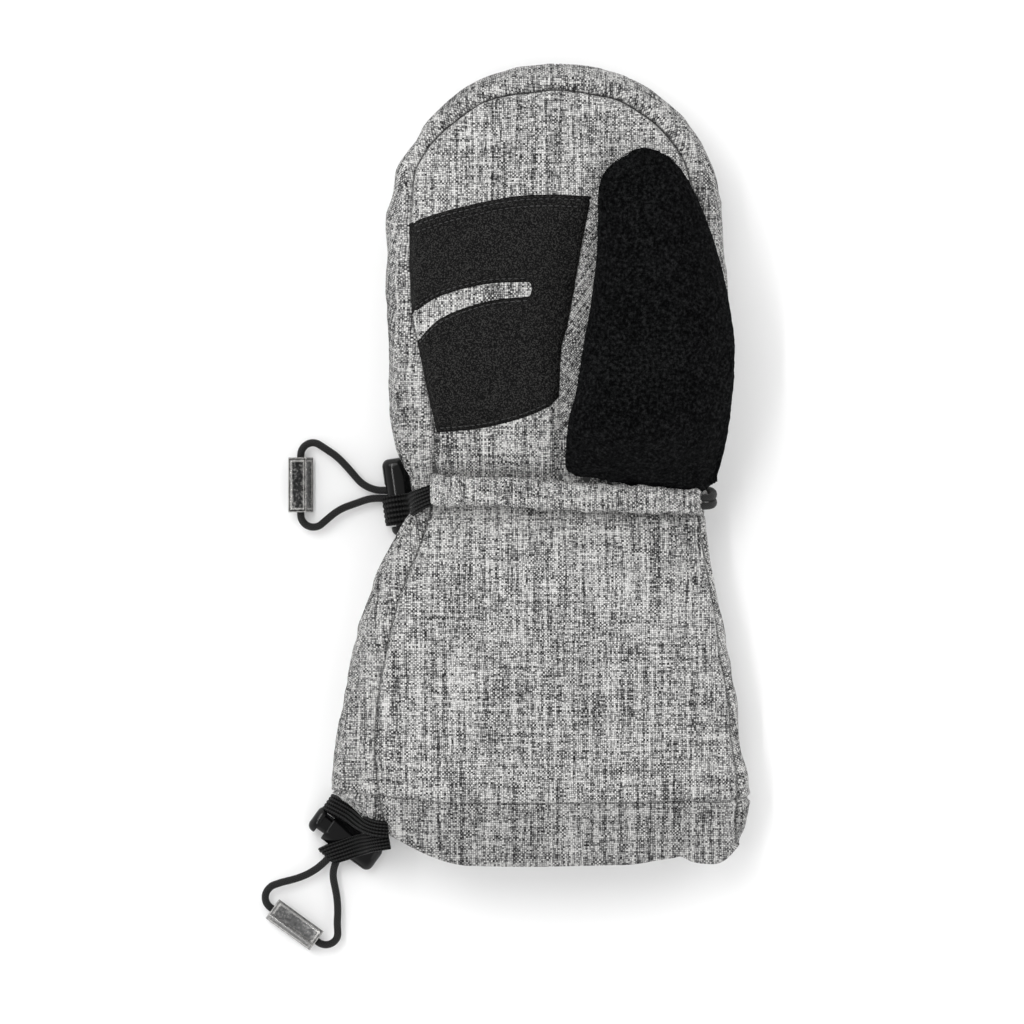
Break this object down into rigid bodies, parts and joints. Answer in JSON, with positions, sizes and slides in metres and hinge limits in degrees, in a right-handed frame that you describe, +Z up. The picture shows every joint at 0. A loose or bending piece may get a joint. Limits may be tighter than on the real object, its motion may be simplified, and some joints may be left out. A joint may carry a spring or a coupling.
{
  "type": "ski mitten",
  "caption": "Padded child's ski mitten lying palm up, with a fleece-covered thumb, a grip patch, and a drawcord with a spring cord lock and bead at the wrist and at the hem.",
  "frame": {"origin": "on the plane the mitten lies on, under the centre of the wrist, at the middle of the back wrist casing's flat underside", "axes": "+Y towards the fingertips, +X towards the thumb side, +Z up, out of the palm"},
  "size_m": [0.1651, 0.2992, 0.0541],
  "materials": {
    "heather_shell": "matte woven",
    "black_fleece": "matte brushed",
    "grip_coating": "matte pebbled",
    "lining_fabric": "brushed",
    "wadding": "fibrous",
    "label_fabric": "satin",
    "elastic_cord": "braided",
    "webbing": "ribbed",
    "lock_plastic": "gloss",
    "bead_metal": "gunmetal, worn edges",
    "spring_wire": "bright"
  },
  "bodies": {
    "mitten": {"palm_shell": "heather_shell", "back_shell": "heather_shell", "cuff_palm_shell": "heather_shell", "cuff_back_shell": "heather_shell", "hem_facing": "heather_shell", "hand_insulation": "wadding", "hand_lining": "lining_fabric", "cuff_lining": "lining_fabric", "grip_patch": "grip_coating", "care_label": "label_fabric", "wrist_casing_palm": "heather_shell", "wrist_casing_back": "heather_shell", "thumb_base_fleece": "black_fleece", "wrist_drawcord": "elastic_cord", "wrist_lock_tab": "webbing", "wrist_lock_barrel": "lock_plastic", "wrist_lock_spring": "spring_wire", "hem_drawcord": "elastic_cord", "hem_lock_tab": "webbing", "hem_lock_barrel": "lock_plastic", "hem_lock_spring": "spring_wire"},
    "thumb": {"thumb_fleece": "black_fleece", "thumb_inner_panel": "heather_shell", "thumb_lining": "lining_fabric"},
    "wrist_pull": {"wrist_cord_loop": "elastic_cord"},
    "wrist_bead": {"wrist_bead": "bead_metal"},
    "wrist_button": {"wrist_lock_plunger": "lock_plastic"},
    "hem_pull": {"hem_cord_loop": "elastic_cord"},
    "hem_bead": {"hem_bead": "bead_metal"},
    "hem_button": {"hem_lock_plunger": "lock_plastic"}
  },
  "joints": [
    {"name": "thumb_swing", "type": "hinge", "parent": "mitten", "child": "thumb", "pos_m": [0.00348, 0.012, 0.05434], "axis": [0.8241, 0.5664, 0], "range_deg": [0, 70], "stiffness_Nm_per_rad": 0.004},
    {"name": "wrist_cord_pull", "type": "slide", "parent": "mitten", "child": "wrist_pull", "axis": [-1, 0, 0], "range_m": [0, 0.035]},
    {"name": "wrist_bead_spin", "type": "hinge", "parent": "wrist_pull", "child": "wrist_bead", "pos_m": [-0.08764, 0.0032, 0.0045], "axis": [0, 1, 0], "continuous": true},
    {"name": "wrist_button_press", "type": "slide", "parent": "mitten", "child": "wrist_button", "axis": [-0.1392, 0.9903, 0], "range_m": [0, 0.0028], "stiffness_N_per_m": 1500, "deforming": ["wrist_lock_spring"]},
    {"name": "hem_cord_pull", "type": "slide", "parent": "mitten", "child": "hem_pull", "axis": [-0.5878, -0.809, 0], "range_m": [0, 0.02]},
    {"name": "hem_bead_spin", "type": "hinge", "parent": "hem_pull", "child": "hem_bead", "pos_m": [-0.08978, -0.14602, 0.0046], "axis": [0.809, -0.5878, 0], "continuous": true},
    {"name": "hem_button_press", "type": "slide", "parent": "mitten", "child": "hem_button", "axis": [0.809, -0.5878, 0], "range_m": [0, 0.0028], "stiffness_N_per_m": 1500, "deforming": ["hem_lock_spring"]}
  ]
}
